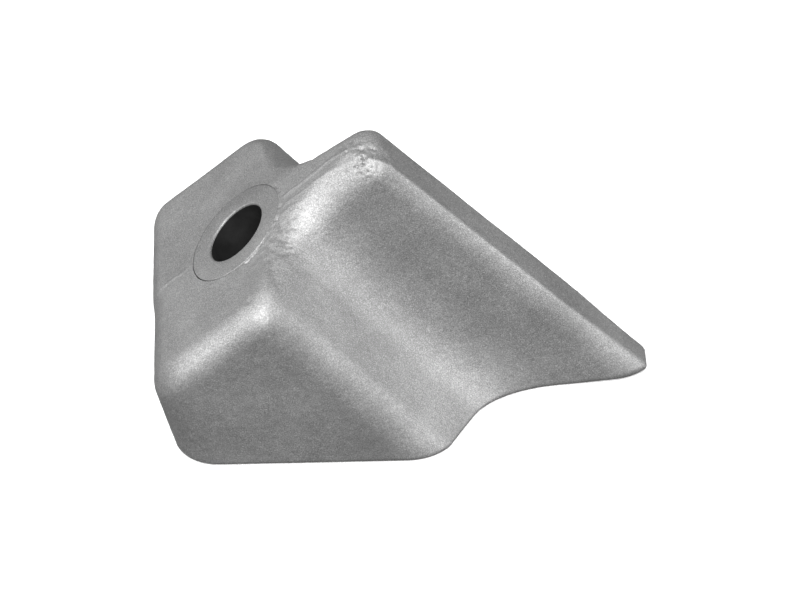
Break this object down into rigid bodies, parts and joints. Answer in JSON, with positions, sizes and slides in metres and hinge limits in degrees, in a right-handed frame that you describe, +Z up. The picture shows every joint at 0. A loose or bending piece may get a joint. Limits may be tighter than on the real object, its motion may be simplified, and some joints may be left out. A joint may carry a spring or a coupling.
{
  "type": "excavator bucket tooth",
  "caption": "Cast wear tooth with a sloped pin face, scooped flanks and a narrow nose, held on its adapter by a slanted retaining pin.",
  "frame": {"origin": "bottom centre of the part's bounding box, on the base rim it stands on", "axes": "+X from the rear wall towards the nose's foot, +Z up from the base, the XZ plane mirrors the left half to the right"},
  "size_m": [0.1476, 0.087, 0.0838],
  "materials": {
    "cast_steel": "shot-blasted as-cast",
    "bush_steel": "blasted",
    "pin_steel": "turned and oiled",
    "spring_steel": "phosphated",
    "elastomer": "matt"
  },
  "bodies": {
    "tooth": {"tooth_casting": "cast_steel", "bore_bush": "bush_steel", "pin_cushion": "elastomer"},
    "pin": {"retaining_pin": "pin_steel", "snap_ring": "spring_steel"}
  },
  "joints": [
    {"name": "pin_draw", "type": "slide", "parent": "tooth", "child": "pin", "axis": [-0.6691, 0, 0.7431], "range_m": [0, 0.06], "deforming": ["snap_ring"]}
  ]
}
